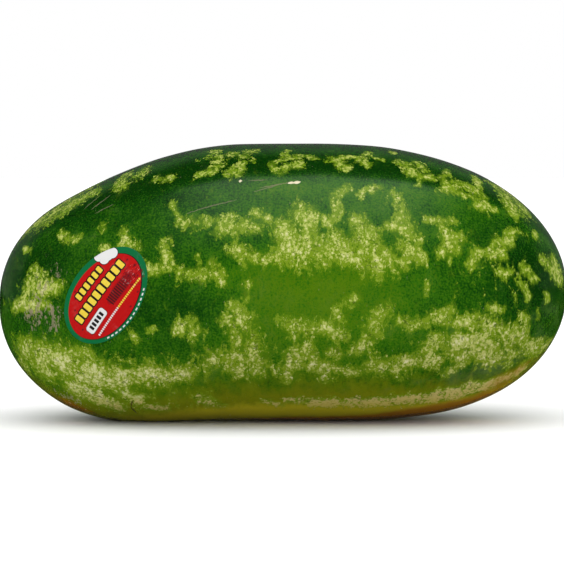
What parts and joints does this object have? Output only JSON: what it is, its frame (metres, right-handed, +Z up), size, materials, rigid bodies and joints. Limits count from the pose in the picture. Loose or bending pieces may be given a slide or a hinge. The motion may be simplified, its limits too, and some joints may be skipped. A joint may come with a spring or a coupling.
{
  "type": "watermelon",
  "caption": "Whole oval watermelon lying on its side, with lacy pale stripes on a green rind and an oval produce label stuck near one end.",
  "frame": {"origin": "on the table, under the middle of the fruit's box", "axes": "+X along the fruit to its stem end, -X to its blossom end, -Y to the side with the label, +Z up"},
  "size_m": [0.437, 0.2166, 0.214],
  "materials": {
    "rind": "satin",
    "label_film": "satin"
  },
  "bodies": {
    "root": {"watermelon": "rind", "label": "label_film"}
  },
  "joints": []
}
